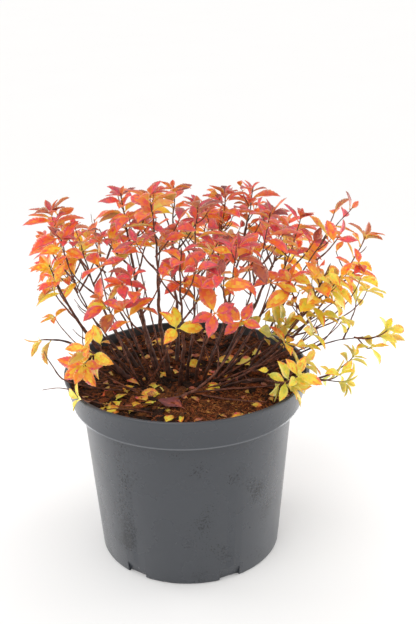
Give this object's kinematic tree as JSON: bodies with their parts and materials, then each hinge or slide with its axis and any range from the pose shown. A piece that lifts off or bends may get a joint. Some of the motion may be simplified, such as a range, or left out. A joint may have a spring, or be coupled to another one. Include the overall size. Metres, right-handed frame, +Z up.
{
  "type": "spirea shrub in a nursery pot",
  "caption": "Low spirea shrub in autumn leaf: a fan of thin canes with sprays of leaves, rooted in potting mix in its round nursery pot.",
  "frame": {"origin": "centre of the pot's flat underside", "axes": "+Z up through the pot's middle, -Y towards the side the shrub is shown from, +X to that side's right"},
  "size_m": [0.3076, 0.2207, 0.3028],
  "materials": {
    "pot_plastic": "satin moulded, dark charcoal grey",
    "potting_mix": "loose damp bark and coir, dark brown",
    "bark": "thin smooth bark, purplish brown",
    "leaves": "thin satin leaves, crimson and coral to amber and yellow"
  },
  "bodies": {
    "root": {"pot": "pot_plastic", "potting_mix": "potting_mix", "cane_01": "bark", "cane_02": "bark", "cane_03": "bark", "cane_04": "bark", "cane_05": "bark", "cane_06": "bark", "cane_07": "bark", "cane_08": "bark", "cane_09": "bark", "cane_10": "bark", "cane_11": "bark", "cane_12": "bark", "cane_13": "bark", "cane_14": "bark", "cane_15": "bark", "cane_16": "bark", "cane_17": "bark", "cane_18": "bark", "cane_19": "bark", "cane_20": "bark", "cane_21": "bark", "cane_22": "bark", "cane_23": "bark", "cane_24": "bark", "cane_25": "bark", "cane_26": "bark", "cane_27": "bark", "cane_28": "bark", "cane_29": "bark", "foliage_01": "leaves", "foliage_02": "leaves", "foliage_03": "leaves", "foliage_04": "leaves", "foliage_05": "leaves", "foliage_06": "leaves", "foliage_07": "leaves", "foliage_08": "leaves", "foliage_09": "leaves", "foliage_10": "leaves", "foliage_11": "leaves", "foliage_12": "leaves", "foliage_13": "leaves", "foliage_14": "leaves", "foliage_15": "leaves", "foliage_16": "leaves", "foliage_17": "leaves", "foliage_18": "leaves", "foliage_19": "leaves", "foliage_20": "leaves", "foliage_21": "leaves", "foliage_22": "leaves", "foliage_23": "leaves", "foliage_24": "leaves", "foliage_25": "leaves", "foliage_26": "leaves", "foliage_27": "leaves", "foliage_28": "leaves", "foliage_29": "leaves"}
  },
  "joints": []
}
